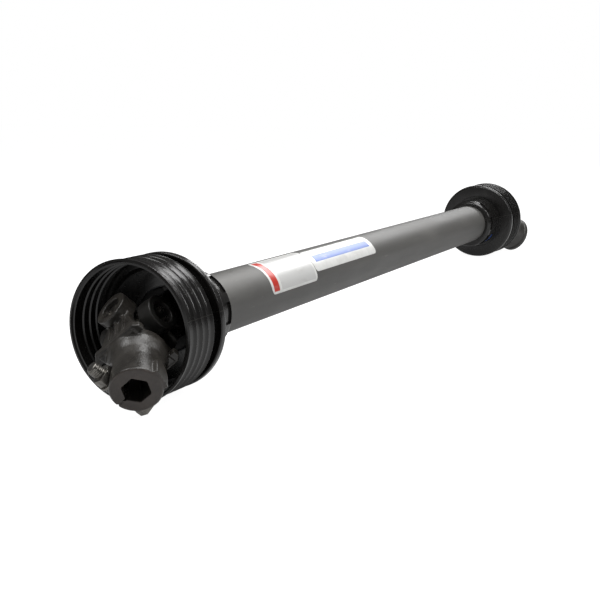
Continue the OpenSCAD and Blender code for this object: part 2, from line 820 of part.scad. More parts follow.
module pinch_bolt() {
  tip = nut_boss_reach + washer_t + nut_h + thread_out;
  color([0.3, 0.3, 0.3]) near_yoke_frame() translate([bolt_x, -bolt_offset, 0]) {
    translate([0, 0, -head_boss_reach]) cylinder(h = head_boss_reach + tip - 1, d = bolt_d);
    translate([0, 0, tip - 1]) cylinder(h = 1, r1 = bolt_d / 2, r2 = bolt_d / 2 - 1);
    translate([0, 0, -head_boss_reach - bolt_head_h])
      cylinder(h = bolt_head_h, r = nut_flats / 2 * hex_corner, $fn = 6);
  }
}

module pinch_nut() {
  color([0.35, 0.35, 0.33]) near_yoke_frame()
    translate([bolt_x, -bolt_offset, nut_boss_reach + washer_t]) difference() {
      cylinder(h = nut_h, r = nut_flats / 2 * hex_corner, $fn = 6);
      translate([0, 0, -over]) cylinder(h = nut_h + 2 * over, d = bolt_d + 2 * seat_gap);
    }
}

module pinch_washer() {
  color([0.4, 0.4, 0.38]) near_yoke_frame()
    translate([bolt_x, -bolt_offset, nut_boss_reach + seat_gap / 2]) difference() {
      cylinder(h = washer_t - seat_gap, d = 2 * bolt_d);
      translate([0, 0, -over]) cylinder(h = washer_t + 2 * over, d = bolt_d + bolt_clearance);
    }
}

module clamp_yoke_caps() {
  near_yoke_frame() cap_pair();
}

module clamp_yoke_circlips() {
  near_yoke_frame() circlip_pair();
}

// Quick-release yoke: splined bore, spring seat and drilled holes for the balls
module spline_yoke() {
  ring_at = lock_land[1] + seat_gap;
  ring_bottom = spline_hub_r - lock_ring_depth;
  color([0.13, 0.12, 0.11]) far_yoke_frame() difference() {
    union() {
      fork();
      revolve_x([[fork_depth, 0], [fork_depth, spring_seat_r - 1],
                 [fork_depth + 1, spring_seat_r], [spring_seat, spring_seat_r],
                 [spring_seat, spline_hub_r], [ring_at, spline_hub_r],
                 [ring_at, ring_bottom], [ring_at + lock_ring_t + 2 * seat_gap, ring_bottom],
                 [ring_at + lock_ring_t + 2 * seat_gap, spline_hub_r],
                 [spline_hub_reach - hub_chamfer, spline_hub_r],
                 [spline_hub_reach, spline_hub_r - hub_chamfer], [spline_hub_reach, 0]]);
    }
    ear_bores();
    translate([fork_depth - over, 0, 0]) rotate([0, 90, 0]) {
      cylinder(h = spline_hub_reach, d = spline_minor_d);
      for (i = [0:spline_count - 1])
        rotate([0, 0, i * 360 / spline_count])
          translate([0, -spline_groove_w / 2, 0])
            cube([spline_major_d / 2, spline_groove_w, spline_hub_reach]);
    }
    lock_ball_frames() rotate_extrude() polygon([
      [0, -lock_ball_r * sqrt(2) - 0.1], [lock_ball_r + lock_gap, lock_gap - 0.1 - lock_ball_r * (sqrt(2) - 1)],
      [lock_ball_r + lock_gap, 2 * lock_ball_r], [0, 2 * lock_ball_r]
    ]);
  }
}

// Places its children at each lock ball, +Z pointing out of the hub
module lock_ball_frames() {
  for (i = [0:lock_ball_count - 1])
    rotate([i * 360 / lock_ball_count - 90, 0, 0])
      translate([lock_ball_at, 0, spline_hub_r - lock_ball_r]) children();
}

module lock_balls() {
  color([0.7, 0.7, 0.7]) far_yoke_frame() lock_ball_frames() sphere(r = lock_ball_r);
}

// Sliding lock collar: its land holds the balls in, its skirt covers the spring
module lock_collar() {
  r = lock_collar_d / 2;
  color([0.12, 0.12, 0.12]) far_yoke_frame() revolve_x([
    [lock_back, lock_skirt_r], [lock_back, r - 1.5], [lock_back + 1.5, r],
    [lock_back + 6, r], [lock_back + 6 + lock_grip, r - lock_grip],
    [lock_front - 9 - lock_grip, r - lock_grip], [lock_front - 9, r],
    [lock_front - 2, r], [lock_front, r - 2], [lock_front, lock_skirt_r - 2],
    [lock_land[1], lock_skirt_r - 2], [lock_land[1], spline_hub_r + lock_gap],
    [lock_land[0], spline_hub_r + lock_gap], [lock_land[0], lock_skirt_r]
  ]);
}

// Split ring in the hub's groove that stops the collar
module lock_ring() {
  ring_in = spline_hub_r - lock_ring_depth + seat_gap;
  color([0.6, 0.6, 0.58]) far_yoke_frame() difference() {
    tube_x(lock_land[1] + 2 * seat_gap, lock_land[1] + 2 * seat_gap + lock_ring_t,
           ring_in + lock_ring_w, ring_in);
    translate([lock_land[1], -3, 0]) cube([2 * lock_ring_t, 6, 2 * spline_hub_r]);
  }
}

// Round wire swept along a helix, one closed mesh
function spring_ring(t, r, low, rise) =
  let (a = 360 * spring_turns * t, z = low + rise * t)
    [for (k = [0:7])
      let (b = 45 * k, q = r + spring_wire / 2 * cos(b))
        [q * cos(a), q * sin(a), z + spring_wire / 2 * sin(b)]];

module lock_spring() {
  mean_r = (spline_hub_r + lock_skirt_r) / 2;
  low = spring_seat + spring_wire / 2 + 0.3;
  high = lock_land[0] - spring_wire / 2 - 0.4;
  steps = 32 * spring_turns;
  points = [for (i = [0:steps]) each spring_ring(i / steps, mean_r, low, high - low)];
  color([0.6, 0.6, 0.6]) far_yoke_frame() rotate([0, 90, 0])
    polyhedron(points, concat(
      [[for (k = [7:-1:0]) k]],
      [[for (k = [0:7]) 8 * steps + k]],
      [for (i = [0:steps - 1], k = [0:7])
        [8 * i + k, 8 * i + (k + 1) % 8, 8 * (i + 1) + (k + 1) % 8, 8 * (i + 1) + k]]
    ));
}

module spline_yoke_caps() {
  far_yoke_frame() cap_pair();
}

module spline_yoke_circlips() {
  far_yoke_frame() circlip_pair();
}

near_guard_cone();
near_bearing_ring();
outer_guard_tube();
near_inner_yoke();
near_inner_yoke_caps();
near_inner_yoke_circlips();
outer_profile_tube();
near_roll_pin();
near_cross();
near_cross_seals();
near_grease_nipple();
clamp_yoke();
clamp_yoke_caps();
clamp_yoke_circlips();
pinch_bolt();
pinch_nut();
pinch_washer();
far_guard_cone();
far_bearing_ring();
inner_guard_tube();
far_inner_yoke();
far_inner_yoke_caps();
far_inner_yoke_circlips();
inner_profile_tube();
far_roll_pin();
far_cross();
far_cross_seals();
far_grease_nipple();
spline_yoke();
spline_yoke_caps();
spline_yoke_circlips();
lock_collar();
lock_balls();
lock_spring();
lock_ring();
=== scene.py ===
import json
import math
import bpy
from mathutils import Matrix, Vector


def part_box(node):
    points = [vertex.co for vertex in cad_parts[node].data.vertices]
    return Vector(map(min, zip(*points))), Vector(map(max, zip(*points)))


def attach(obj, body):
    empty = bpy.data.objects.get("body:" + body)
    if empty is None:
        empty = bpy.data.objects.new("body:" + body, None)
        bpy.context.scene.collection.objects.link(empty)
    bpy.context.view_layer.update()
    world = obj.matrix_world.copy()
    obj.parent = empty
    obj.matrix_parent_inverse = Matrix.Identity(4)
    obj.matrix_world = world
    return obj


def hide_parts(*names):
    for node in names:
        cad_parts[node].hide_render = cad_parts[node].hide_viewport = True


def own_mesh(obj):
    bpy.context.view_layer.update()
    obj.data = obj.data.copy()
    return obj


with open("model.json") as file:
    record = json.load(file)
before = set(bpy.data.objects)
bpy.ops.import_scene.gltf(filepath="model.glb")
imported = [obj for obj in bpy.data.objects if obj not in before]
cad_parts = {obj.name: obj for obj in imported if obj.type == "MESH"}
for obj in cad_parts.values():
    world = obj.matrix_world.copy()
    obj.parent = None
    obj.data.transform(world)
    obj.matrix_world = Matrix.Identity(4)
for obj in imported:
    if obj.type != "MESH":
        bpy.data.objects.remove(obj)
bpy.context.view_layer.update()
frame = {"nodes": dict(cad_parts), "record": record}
joints = {joint["name"]: joint for joint in frame["record"]["behaviour"]["joints"]}
mounts = {mount["name"]: mount for mount in frame["record"]["mounts"]}


# Guard cones. Each is one moulded shell of black polyethylene: a thin lip, four
# bands, a waist with grease holes, the wide flange and the collar that holds the
# guard tube. The shell comes from the frame; each band is flared to its crest.
weld = 0.000008
flat_turn = math.radians(0.4)


def join_up(node, name, crease=28.0):
    """A copy of a CAD piece with its loose triangles joined into faces."""
    bpy.ops.object.select_all(action="DESELECT")
    piece = bpy.data.objects.new(name, frame["nodes"][node].data.copy())
    bpy.context.scene.collection.objects.link(piece)
    piece.data.materials.clear()
    piece.select_set(True)
    bpy.context.view_layer.objects.active = piece
    bpy.ops.object.mode_set(mode="EDIT")
    bpy.ops.mesh.select_all(action="SELECT")
    bpy.ops.mesh.remove_doubles(threshold=weld)
    bpy.ops.mesh.customdata_custom_splitnormals_clear()
    bpy.ops.mesh.dissolve_limited(angle_limit=flat_turn)
    bpy.ops.object.mode_set(mode="OBJECT")
    bpy.ops.object.shade_smooth_by_angle(angle=math.radians(crease))
    return piece


def round_edges(piece, width, segments=2, angle=32.0):
    """Breaks every sharp edge by that width, as moulding or tumbling does."""
    bpy.context.view_layer.objects.active = piece
    edge = piece.modifiers.new("broken_edges", "BEVEL")
    edge.width = width
    edge.segments = segments
    edge.limit_method = "ANGLE"
    edge.angle_limit = math.radians(angle)
    edge.harden_normals = False
    bpy.ops.object.modifier_apply(modifier=edge.name)
    bpy.ops.object.shade_smooth_by_angle(angle=math.radians(angle))


def fit_to_frame(piece, node, body, finish):
    """Gives the piece its finish, hangs it on its body and hides the CAD node it stands for."""
    piece.data.materials.clear()
    piece.data.materials.append(finish)
    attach(piece, body)
    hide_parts(node)


def new_finish(name, tone, roughness, metal=0.0):
    """A material with one plain tone, its nodes and its shader, to add to."""
    finish = bpy.data.materials.new(name)
    finish.use_nodes = True
    shader = finish.node_tree.nodes["Principled BSDF"]
    shader.inputs["Base Color"].default_value = (*tone, 1.0)
    shader.inputs["Roughness"].default_value = roughness
    shader.inputs["Metallic"].default_value = metal
    return finish, finish.node_tree, shader


def grain(tree, scale, stretch=(1.0, 1.0, 1.0), detail=4.0, rough=0.55):
    """Noise in the piece's own metres, drawn out along an axis by stretch."""
    place = tree.nodes.new("ShaderNodeTexCoord")
    mapping = tree.nodes.new("ShaderNodeMapping")
    mapping.inputs["Scale"].default_value = stretch
    noise = tree.nodes.new("ShaderNodeTexNoise")
    noise.inputs["Scale"].default_value = scale
    noise.inputs["Detail"].default_value = detail
    noise.inputs["Roughness"].default_value = rough
    tree.links.new(place.outputs["Object"], mapping.inputs["Vector"])
    tree.links.new(mapping.outputs["Vector"], noise.inputs["Vector"])
    return noise.outputs["Fac"]


def spread(tree, value, low, high, bottom, top):
    """Maps low..high of a pattern to bottom..top, held at both ends."""
    spreader = tree.nodes.new("ShaderNodeMapRange")
    for socket, number in zip(("From Min", "From Max", "To Min", "To Max"),
                              (low, high, bottom, top)):
        spreader.inputs[socket].default_value = number
    tree.links.new(value, spreader.inputs["Value"])
    return spreader.outputs["Result"]


def sum_up(tree, operation, first, second):
    """A Math node on two values, either of which may be a plain number."""
    maths = tree.nodes.new("ShaderNodeMath")
    maths.operation = operation
    for socket, value in zip(maths.inputs, (first, second)):
        if isinstance(value, (int, float)):
            socket.default_value = value
        else:
            tree.links.new(value, socket)
    return maths.outputs["Value"]


def blend_tones(tree, amount, under, over):
    """Mixes two colours, or a colour output and a colour, by a pattern."""
    mixer = tree.nodes.new("ShaderNodeMix")
    mixer.data_type = "RGBA"
    for socket, tone in zip((mixer.inputs[6], mixer.inputs[7]), (under, over)):
        if isinstance(tone, tuple):
            socket.default_value = (*tone, 1.0)
        else:
            tree.links.new(tone, socket)
    tree.links.new(amount, mixer.inputs[0])
    return mixer.outputs[2]


def emboss(tree, shader, height, depth, strength=1.0):
    """Lets a pattern stand out of the surface by a depth in metres."""
    bump = tree.nodes.new("ShaderNodeBump")
    bump.inputs["Distance"].default_value = depth
    bump.inputs["Strength"].default_value = strength
    tree.links.new(height, bump.inputs["Height"])
    tree.links.new(bump.outputs["Normal"], shader.inputs["Normal"])


def around_shaft(tree, axis_height):
    """Angle round the shaft's centre line, in degrees, 0 on the +Y side, and the
    place along it."""
    place = tree.nodes.new("ShaderNodeTexCoord")
    split = tree.nodes.new("ShaderNodeSeparateXYZ")
    tree.links.new(place.outputs["Object"], split.inputs["Vector"])
    height = sum_up(tree, "SUBTRACT", split.outputs["Z"], axis_height)
    turn = sum_up(tree, "ARCTAN2", height, split.outputs["Y"])
    return sum_up(tree, "MULTIPLY", turn, 180 / math.pi), split.outputs["X"]


shaft_height = joints["near_shaft_spin"]["pos_m"][2]
parting_angle = 167.0
cone_black, tree, shader = new_finish("cone_black", (0.012, 0.0115, 0.011), 0.24)
dust = spread(tree, grain(tree, 22.0, detail=6.0), 0.5, 0.75, 0.0, 1.0)
scuff = spread(tree, grain(tree, 160.0, (0.3, 1.0, 1.0), detail=3.0), 0.62, 0.75, 0.0, 1.0)
black = blend_tones(tree, dust, (0.0105, 0.010, 0.0095), (0.021, 0.020, 0.018))
turn, _ = around_shaft(tree, shaft_height)
off_line = sum_up(tree, "ABSOLUTE", sum_up(tree, "SUBTRACT", turn, parting_angle), 0.0)
seam = spread(tree, off_line, 0.15, 0.45, 1.0, 0.0)
black = blend_tones(tree, sum_up(tree, "MULTIPLY", seam, 0.5), black, (0.05, 0.047, 0.042))
tree.links.new(black, shader.inputs["Base Color"])
sheen_patch = spread(tree, grain(tree, 55.0, detail=5.0), 0.35, 0.7, 0.17, 0.28)
gloss = sum_up(tree, "ADD", sheen_patch, sum_up(tree, "MULTIPLY", scuff, 0.16))
tree.links.new(gloss, shader.inputs["Roughness"])
skin = sum_up(tree, "ADD", grain(tree, 240.0, detail=2.0),
              sum_up(tree, "MULTIPLY", seam, 1.4))
emboss(tree, shader, skin, 0.00008, 0.14)

joint_at = joints["near_shaft_spin"]["pos_m"][0]
bands = 4
first_crest, crest_pitch, crest_radius, band_radius = -0.0028, 0.0109, 0.074, 0.0716
outer_skin = 0.0705
flare = ((0.0048, 0.0), (0.0034, 0.1), (0.0019, 0.5))


def flare_bands(cone, side):
    """Cuts each band's face into rings and draws them in to a hollow flare."""
    bpy.context.view_layer.objects.active = cone
    for band in range(bands):
        crest = side * (-joint_at - first_crest - band * crest_pitch)
        for before, rise in flare:
            ring = crest + side * before
            bpy.ops.object.mode_set(mode="EDIT")
            bpy.ops.mesh.select_all(action="SELECT")
            bpy.ops.mesh.bisect(plane_co=(ring, 0, 0), plane_no=(1, 0, 0))
            bpy.ops.object.mode_set(mode="OBJECT")
            reach = band_radius + rise * (crest_radius - band_radius)
            for corner in cone.data.vertices:
                out = Vector((0, corner.co.y, corner.co.z - shaft_height))
                if abs(corner.co.x - ring) < 0.00003 and out.length > outer_skin:
                    out *= reach / out.length
                    corner.co = (corner.co.x, out.y, out.z + shaft_height)


for end, body, side in (("near", "outer_guard", -1), ("far", "inner_guard", 1)):
    cone = join_up(f"{end}_guard_cone", f"{end}_cone_shell")
    flare_bands(cone, side)
    round_edges(cone, 0.0004)
    fit_to_frame(cone, f"{end}_guard_cone", body, cone_black)


# Guard tubes. Two lengths of extruded tube, charcoal with a fine lengthwise
# draw and a bloom of dust from handling. The smaller one slides in the larger.
tube_grey, tree, shader = new_finish("tube_grey", (0.05, 0.049, 0.047), 0.42)
streaks = grain(tree, 40.0, (0.06, 1.0, 1.0), detail=5.0)
bloom = grain(tree, 9.0, (0.5, 1.0, 1.0), detail=6.0, rough=0.62)
drawn = spread(tree, streaks, 0.35, 0.68, 0.0, 1.0)
grey = blend_tones(tree, drawn, (0.072, 0.071, 0.067), (0.098, 0.096, 0.090))
grey = blend_tones(tree, spread(tree, bloom, 0.48, 0.74, 0.0, 0.55), grey,
                   (0.17, 0.166, 0.156))
nicks = spread(tree, grain(tree, 260.0, (0.12, 1.0, 1.0), detail=2.0), 0.70, 0.76, 0.0, 0.6)
grey = blend_tones(tree, nicks, grey, (0.16, 0.155, 0.145))
tree.links.new(grey, shader.inputs["Base Color"])
tree.links.new(spread(tree, bloom, 0.35, 0.7, 0.42, 0.6), shader.inputs["Roughness"])
emboss(tree, shader, sum_up(tree, "ADD", streaks, grain(tree, 420.0, detail=2.0)),
       0.00010, 0.45)

for node, body in (("outer_guard_tube", "outer_guard"), ("inner_guard_tube", "inner_guard")):
    tube = join_up(node, f"{node}_wall")
    round_edges(tube, 0.0003)
    fit_to_frame(tube, node, body, tube_grey)


# Bearing rings. Split rings of blue nylon that run in the yokes' grooves and
# hold the cones by two latches each; only the latches show, in their windows.
# The inner side of each ring, round the shaft inside the cone, is painted near black as painted
# shade.
ring_blue, tree, shader = new_finish("ring_blue", (0.012, 0.07, 0.34), 0.34)
shade = spread(tree, grain(tree, 60.0), 0.3, 0.7, 0.0, 1.0)
nylon = blend_tones(tree, shade, (0.010, 0.055, 0.29), (0.022, 0.10, 0.42))
place = tree.nodes.new("ShaderNodeTexCoord")
split = tree.nodes.new("ShaderNodeSeparateXYZ")
tree.links.new(place.outputs["Object"], split.inputs["Vector"])
height = sum_up(tree, "SUBTRACT", split.outputs["Z"], shaft_height)
from_axis = sum_up(tree, "SQRT", sum_up(tree, "ADD", sum_up(tree, "POWER", height, 2.0),
                                        sum_up(tree, "POWER", split.outputs["Y"], 2.0)), 0.0)
# Painted shade: near black within 40 mm of the shaft's axis, fading into the blue by 43 mm.
shade_inner_edge, shade_outer_edge = 0.040, 0.043
ring_painted_shade = spread(tree, from_axis, shade_inner_edge, shade_outer_edge, 0.96, 0.0)
tree.links.new(blend_tones(tree, ring_painted_shade, nylon, (0.006, 0.006, 0.007)),
               shader.inputs["Base Color"])
emboss(tree, shader, grain(tree, 900.0, detail=2.0), 0.0001, 0.4)

for end, body in (("near", "outer_guard"), ("far", "inner_guard")):
    ring = join_up(f"{end}_bearing_ring", f"{end}_latch_ring")
    round_edges(ring, 0.0003)
    fit_to_frame(ring, f"{end}_bearing_ring", body, ring_blue)


# Yokes. Four drop forgings under a thin dark paint that lets the forged skin
# show. A finished yoke is remeshed finely and relaxed, so that its edges and
# roots take the soft round of a forging, most finely at the near end.
def forge(node, name, grid):
    """A CAD yoke with the soft edges of a forging, on a grid of that width."""
    piece = join_up(node, name)
    bpy.ops.object.select_all(action="DESELECT")
    piece.select_set(True)
    bpy.context.view_layer.objects.active = piece
    remesh = piece.modifiers.new("forged_skin", "REMESH")
    remesh.mode = "VOXEL"
    remesh.voxel_size = grid
    bpy.ops.object.modifier_apply(modifier=remesh.name)
    relax = piece.modifiers.new("soft_roots", "SMOOTH")
    relax.factor = 0.5
    relax.iterations = 3
    bpy.ops.object.modifier_apply(modifier=relax.name)
    bpy.ops.object.shade_smooth()
    return piece


def forged_paint(name, dark, light, rubbed_tone, smooth, rough):
    """Blotchy dark paint over forging scale, rubbed lighter in small spots."""
    finish, tree, shader = new_finish(name, dark, rough)
    blotch = grain(tree, 45.0, detail=6.0, rough=0.6)
    paint = blend_tones(tree, spread(tree, blotch, 0.38, 0.66, 0.0, 1.0), dark, light)
    rubbed = spread(tree, grain(tree, 330.0, detail=5.0, rough=0.7), 0.62, 0.74, 0.0, 0.5)
    paint = blend_tones(tree, rubbed, paint, rubbed_tone)
    tree.links.new(paint, shader.inputs["Base Color"])
    tree.links.new(spread(tree, blotch, 0.3, 0.7, smooth, rough), shader.inputs["Roughness"])
    scale_skin = sum_up(tree, "ADD", grain(tree, 260.0, detail=5.0, rough=0.6),
                        sum_up(tree, "MULTIPLY", grain(tree, 1100.0, detail=2.0), 0.35))
    emboss(tree, shader, scale_skin, 0.00045, 0.55)
    return finish


yoke_paint = forged_paint("yoke_paint", (0.020, 0.018, 0.0155), (0.040, 0.036, 0.031),
                          (0.11, 0.10, 0.085), 0.24, 0.42)
# The inner yokes, deep inside the cones, get a darker paint as painted shade.
inner_yoke_painted_shade = forged_paint("inner_yoke_painted_shade", (0.010, 0.0095, 0.009), (0.018, 0.017, 0.0155),
                             (0.04, 0.037, 0.032), 0.3, 0.5)
for node, body, grid, finish in (
        ("clamp_yoke", "near_yoke", 0.0008, yoke_paint),
        ("near_inner_yoke", "near_drive", 0.0008, inner_yoke_painted_shade),
        ("spline_yoke", "far_yoke", 0.0011, yoke_paint),
        ("far_inner_yoke", "far_drive", 0.0011, inner_yoke_painted_shade)):
    yoke = forge(node, f"{node}_forging", grid)
    fit_to_frame(yoke, node, body, finish)

# The outer faces of the hubs are turned, and their paint is worn thin and brown.
turned_face = forged_paint("turned_face", (0.050, 0.041, 0.036), (0.085, 0.070, 0.061),
                           (0.16, 0.14, 0.12), 0.3, 0.44)
face_depth = 0.002
for name, bore in (("clamp_yoke_forging", "hexagon_socket"),
                   ("spline_yoke_forging", "splined_bore")):
    skin = bpy.data.objects[name].data
    outward = Vector(mounts[bore]["axis"]).normalized()
    end = max(corner.co.dot(outward) for corner in skin.vertices)
    skin.materials.append(turned_face)
    for face in skin.polygons:
        if face.normal.dot(outward) > 0.6 and face.center.dot(outward) > end - face_depth:
            face.material_index = 1


# Crosses and their bearing caps. Ground steel, dark with oil; each cap is held
# in its ear by a phosphated circlip and sealed by a black rubber ring.
def ground_steel(name, dark, light, roughness, scratch=420.0):
    """Bare steel under an oily film, with fine grinding marks."""
    finish, tree, shader = new_finish(name, dark, roughness, 1.0)
    film = spread(tree, grain(tree, 120.0, detail=5.0), 0.35, 0.7, 0.0, 1.0)
    tree.links.new(blend_tones(tree, film, dark, light), shader.inputs["Base Color"])
    tree.links.new(spread(tree, grain(tree, scratch, detail=3.0), 0.3, 0.7,
                          roughness - 0.07, roughness + 0.09), shader.inputs["Roughness"])
    emboss(tree, shader, grain(tree, scratch * 2, detail=2.0), 0.00005, 0.4)
    return finish


cross_steel = ground_steel("cross_steel", (0.14, 0.132, 0.12), (0.22, 0.21, 0.19), 0.36)
cap_steel = ground_steel("cap_steel", (0.17, 0.16, 0.15), (0.27, 0.26, 0.24), 0.33)
circlip_steel = ground_steel("circlip_steel", (0.20, 0.19, 0.18), (0.32, 0.31, 0.29), 0.3)

for end, drive, spider, yoke_node, yoke_body in (
        ("near", "near_drive", "near_spider", "clamp_yoke", "near_yoke"),
        ("far", "far_drive", "far_spider", "spline_yoke", "far_yoke")):
    cross = join_up(f"{end}_cross", f"{end}_cross_steel")
    round_edges(cross, 0.0004)
    fit_to_frame(cross, f"{end}_cross", spider, cross_steel)
    for fork, body in ((f"{end}_inner_yoke", drive), (yoke_node, yoke_body)):
        caps = join_up(f"{fork}_caps", f"{fork}_cap_pair")
        round_edges(caps, 0.0005)
        fit_to_frame(caps, f"{fork}_caps", body, cap_steel)
        clips = join_up(f"{fork}_circlips", f"{fork}_clip_pair")
        round_edges(clips, 0.0002, 1)
        fit_to_frame(clips, f"{fork}_circlips", body, circlip_steel)

seal_black, tree, shader = new_finish("seal_black", (0.012, 0.012, 0.012), 0.55)
tree.links.new(spread(tree, grain(tree, 300.0), 0.3, 0.7, 0.46, 0.66),
               shader.inputs["Roughness"])
emboss(tree, shader, grain(tree, 1200.0, detail=2.0), 0.00008, 0.5)
nipple_zinc = ground_steel("nipple_zinc", (0.42, 0.37, 0.22), (0.58, 0.52, 0.33), 0.3)
for end in ("near", "far"):
    seals = join_up(f"{end}_cross_seals", f"{end}_seal_rings")
    fit_to_frame(seals, f"{end}_cross_seals", f"{end}_spider", seal_black)
    nipple = join_up(f"{end}_grease_nipple", f"{end}_nipple_body")
    round_edges(nipple, 0.0003)
    fit_to_frame(nipple, f"{end}_grease_nipple", f"{end}_spider", nipple_zinc)


# Pinch bolt, nut and washer. Zinc-plated steel gone dull; the bolt draws the
# slit hub tight on its hexagon shaft, and its rolled thread stands out of the nut.
bolt_zinc = ground_steel("bolt_zinc", (0.13, 0.123, 0.112), (0.27, 0.26, 0.24), 0.34)
for node, name in (("pinch_bolt", "pinch_bolt_shank"), ("pinch_nut", "pinch_nut_body"),
                   ("pinch_washer", "pinch_washer_disc")):
    part = join_up(node, name)
    round_edges(part, 0.0005)
    fit_to_frame(part, node, "near_yoke", bolt_zinc)

# The bolt lies along the clamp yoke's trunnions. Its thread is a ridge wound
# round the end that stands out of the nut.
bolt_axis = Vector(joints["near_yoke_tilt"]["axis"])
nut_points = [corner.co for corner in frame["nodes"]["pinch_nut"].data.vertices]
nut_middle = sum(nut_points, Vector()) / len(nut_points)
shank = [(corner.co - nut_middle).dot(bolt_axis)
         for corner in frame["nodes"]["pinch_bolt"].data.vertices]
if max(shank) > -min(shank):
    bolt_axis, shank = -bolt_axis, [-spot for spot in shank]
nut_top = max(abs((spot - nut_middle).dot(bolt_axis)) for spot in nut_points)
shank_radius, pitch = 0.006, 0.0021
ridge_root, ridge_crest = shank_radius - 0.0001, shank_radius + 0.0008
plain_tip = 0.0008
bpy.ops.object.select_all(action="DESELECT")
bpy.ops.mesh.primitive_circle_add(vertices=3, radius=pitch)
ridge = bpy.context.object
ridge.name = "pinch_bolt_thread"
for corner, spot in zip(ridge.data.vertices, (
        (ridge_root, 0, nut_top + pitch * 0.25),
        (ridge_crest, 0, nut_top + pitch * 0.55),
        (ridge_root, 0, nut_top + pitch * 0.85))):
    corner.co = spot
winding = ridge.modifiers.new("winding", "SCREW")
winding.axis = "Z"
winding.angle = 2 * math.pi
winding.screw_offset = pitch
winding.iterations = int((max(shank) - nut_top - plain_tip) / pitch) - 1
winding.steps = winding.render_steps = 28
bpy.ops.object.modifier_apply(modifier=winding.name)
bpy.ops.object.mode_set(mode="EDIT")
bpy.ops.mesh.select_all(action="SELECT")
bpy.ops.mesh.fill_holes(sides=3)
bpy.ops.mesh.normals_make_consistent(inside=False)
bpy.ops.object.mode_set(mode="OBJECT")
stand = bolt_axis.to_track_quat("Z", "Y").to_matrix().to_4x4()
stand.translation = nut_middle
ridge.data.transform(stand)
ridge.data.materials.append(bolt_zinc)
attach(ridge, "near_yoke")

# The roots of that thread, on the shank between the ridges, are painted dark as painted shade.
thread_painted_shade = ground_steel("thread_painted_shade", (0.018, 0.017, 0.016), (0.04, 0.038, 0.035), 0.5)
bolt = bpy.data.objects["pinch_bolt_shank"]
bolt.data.materials.append(thread_painted_shade)
for face in bolt.data.polygons:
    reach = (face.center - nut_middle).dot(bolt_axis)
    if nut_top < reach < max(shank) - 0.001 and abs(face.normal.dot(bolt_axis)) < 0.5:
        face.material_index = 1


# Profile tubes and their roll pins. Drawn steel tubes of rounded triangle
# section that carry the drive inside the guard, lightly oiled.
drawn_steel = ground_steel("drawn_steel", (0.26, 0.25, 0.235), (0.38, 0.37, 0.35), 0.38)
pin_steel = ground_steel("spring_pin_steel", (0.20, 0.195, 0.185), (0.30, 0.29, 0.28), 0.36)
for node, body in (("outer_profile_tube", "near_drive"), ("inner_profile_tube", "far_drive")):
    tube = join_up(node, f"{node}_drawn")
    fit_to_frame(tube, node, body, drawn_steel)
for end in ("near", "far"):
    pin = join_up(f"{end}_roll_pin", f"{end}_spring_pin")
    fit_to_frame(pin, f"{end}_roll_pin", f"{end}_drive", pin_steel)


# Lock collar of the quick-release yoke, with its balls, spring and stop ring.
# The collar is turned steel with a dark, slightly blotchy coat.
collar_coat, tree, shader = new_finish("collar_coat", (0.045, 0.043, 0.040), 0.38)
coat = blend_tones(tree, spread(tree, grain(tree, 70.0, detail=5.0), 0.35, 0.7, 0.0, 1.0),
                   (0.036, 0.0345, 0.032), (0.062, 0.059, 0.054))
tree.links.new(coat, shader.inputs["Base Color"])
tree.links.new(spread(tree, grain(tree, 200.0), 0.3, 0.7, 0.3, 0.46),
               shader.inputs["Roughness"])
emboss(tree, shader, grain(tree, 800.0, detail=3.0), 0.00008, 0.4)
collar = join_up("lock_collar", "lock_collar_sleeve")
round_edges(collar, 0.0006, 3)
fit_to_frame(collar, "lock_collar", "release_collar", collar_coat)
balls = join_up("lock_balls", "lock_ball_set", 60.0)
fit_to_frame(balls, "lock_balls", "far_yoke", cap_steel)
spring = join_up("lock_spring", "lock_spring_coil", 60.0)
fit_to_frame(spring, "lock_spring", "far_yoke", pin_steel)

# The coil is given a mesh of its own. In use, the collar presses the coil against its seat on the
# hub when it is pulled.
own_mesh(spring)

stop = join_up("lock_ring", "lock_stop_ring")
fit_to_frame(stop, "lock_ring", "far_yoke", pin_steel)


# Labels. Two printed vinyl labels on the outer guard tube, with no words:
# one white with a red band and pale grey fields, one white with a blue stripe.
tube_low, tube_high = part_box("outer_guard_tube")
tube_radius = (tube_high.z - tube_low.z) / 2
vinyl, label_corner = 0.00015, 0.006


